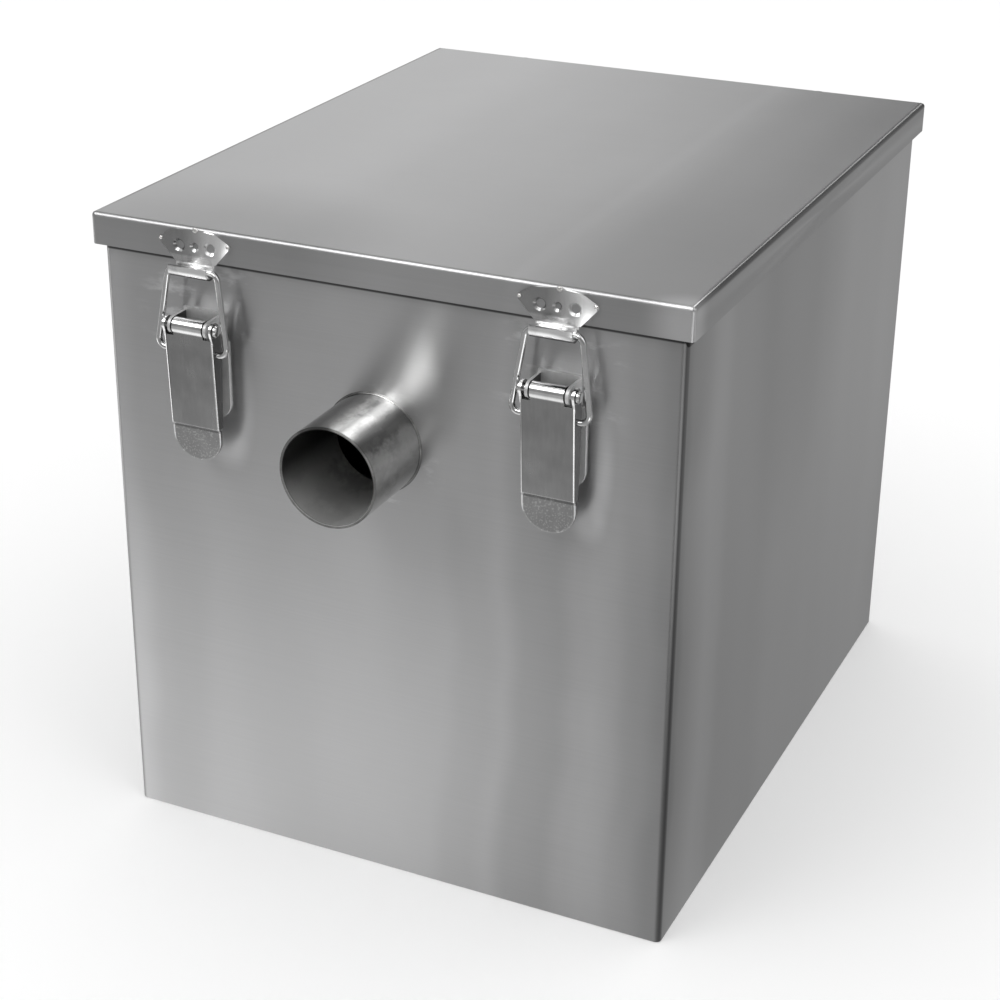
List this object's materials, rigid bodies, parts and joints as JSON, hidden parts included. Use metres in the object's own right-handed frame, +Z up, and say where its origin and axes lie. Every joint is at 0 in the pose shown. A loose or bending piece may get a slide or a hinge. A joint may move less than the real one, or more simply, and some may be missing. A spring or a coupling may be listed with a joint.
{
  "type": "grease trap",
  "caption": "Stainless-steel box grease trap with a lift-off lid, toggle latches, front inlet and back outlet pipes, strainer basket, weir and hanging baffle.",
  "frame": {"origin": "middle of the tank's underside, which is the bottom centre of the whole", "axes": "+Z up; -Y out of the front wall along the inlet pipe; +X to the right seen from the front"},
  "size_m": [0.308, 0.46, 0.332],
  "materials": {
    "tank_steel": "brushed, upright grain",
    "lid_steel": "brushed, grain front to back",
    "pipe_steel": "polished",
    "latch_steel": "pressed, fine satin",
    "wire_steel": "bright drawn",
    "inner_steel": "plain mill finish",
    "gasket_rubber": "matt"
  },
  "bodies": {
    "trap": {"back_left_latch_base_plate": "latch_steel", "back_left_latch_keeper": "latch_steel", "back_left_latch_pin": "wire_steel", "back_right_latch_base_plate": "latch_steel", "back_right_latch_keeper": "latch_steel", "back_right_latch_pin": "wire_steel", "basket_handle": "inner_steel", "basket_rail_left": "inner_steel", "basket_rail_right": "inner_steel", "front_left_latch_base_plate": "latch_steel", "front_left_latch_keeper": "latch_steel", "front_left_latch_pin": "wire_steel", "front_right_latch_base_plate": "latch_steel", "front_right_latch_keeper": "latch_steel", "front_right_latch_pin": "wire_steel", "hanging_baffle": "inner_steel", "inlet_pipe": "pipe_steel", "lid": "lid_steel", "lid_gasket": "gasket_rubber", "outlet_dip_tube": "inner_steel", "outlet_pipe": "pipe_steel", "strainer_basket": "inner_steel", "tank_shell": "tank_steel", "weir_baffle": "inner_steel"},
    "front_left_latch_lever": {"front_left_latch_lever": "latch_steel"},
    "front_left_latch_bail": {"front_left_latch_bail": "wire_steel"},
    "front_right_latch_lever": {"front_right_latch_lever": "latch_steel"},
    "front_right_latch_bail": {"front_right_latch_bail": "wire_steel"},
    "back_left_latch_lever": {"back_left_latch_lever": "latch_steel"},
    "back_left_latch_bail": {"back_left_latch_bail": "wire_steel"},
    "back_right_latch_lever": {"back_right_latch_lever": "latch_steel"},
    "back_right_latch_bail": {"back_right_latch_bail": "wire_steel"}
  },
  "joints": [
    {"name": "front_left_latch_lever_swing", "type": "hinge", "parent": "trap", "child": "front_left_latch_lever", "pos_m": [-0.0952, -0.197, 0.28509], "axis": [-1, 0, 0], "range_deg": [0, 90]},
    {"name": "front_left_latch_bail_swing", "type": "hinge", "parent": "front_left_latch_lever", "child": "front_left_latch_bail", "pos_m": [-0.0952, -0.19613, 0.27262], "axis": [-1, 0, 0], "range_deg": [-69, 0]},
    {"name": "front_right_latch_lever_swing", "type": "hinge", "parent": "trap", "child": "front_right_latch_lever", "pos_m": [0.0908, -0.197, 0.28509], "axis": [-1, 0, 0], "range_deg": [0, 90]},
    {"name": "front_right_latch_bail_swing", "type": "hinge", "parent": "front_right_latch_lever", "child": "front_right_latch_bail", "pos_m": [0.0908, -0.19613, 0.27262], "axis": [-1, 0, 0], "range_deg": [-69, 0]},
    {"name": "back_left_latch_lever_swing", "type": "hinge", "parent": "trap", "child": "back_left_latch_lever", "pos_m": [-0.0952, 0.197, 0.28509], "axis": [1, 0, 0], "range_deg": [0, 90]},
    {"name": "back_left_latch_bail_swing", "type": "hinge", "parent": "back_left_latch_lever", "child": "back_left_latch_bail", "pos_m": [-0.0952, 0.19613, 0.27262], "axis": [1, 0, 0], "range_deg": [-69, 0]},
    {"name": "back_right_latch_lever_swing", "type": "hinge", "parent": "trap", "child": "back_right_latch_lever", "pos_m": [0.0908, 0.197, 0.28509], "axis": [1, 0, 0], "range_deg": [0, 90]},
    {"name": "back_right_latch_bail_swing", "type": "hinge", "parent": "back_right_latch_lever", "child": "back_right_latch_bail", "pos_m": [0.0908, 0.19613, 0.27262], "axis": [1, 0, 0], "range_deg": [-69, 0]}
  ],
  "couplings": [
    {"joint": "front_left_latch_bail_swing", "follows": "front_left_latch_lever_swing", "ratio": -0.765},
    {"joint": "front_right_latch_bail_swing", "follows": "front_right_latch_lever_swing", "ratio": -0.765},
    {"joint": "back_left_latch_bail_swing", "follows": "back_left_latch_lever_swing", "ratio": -0.765},
    {"joint": "back_right_latch_bail_swing", "follows": "back_right_latch_lever_swing", "ratio": -0.765}
  ]
}
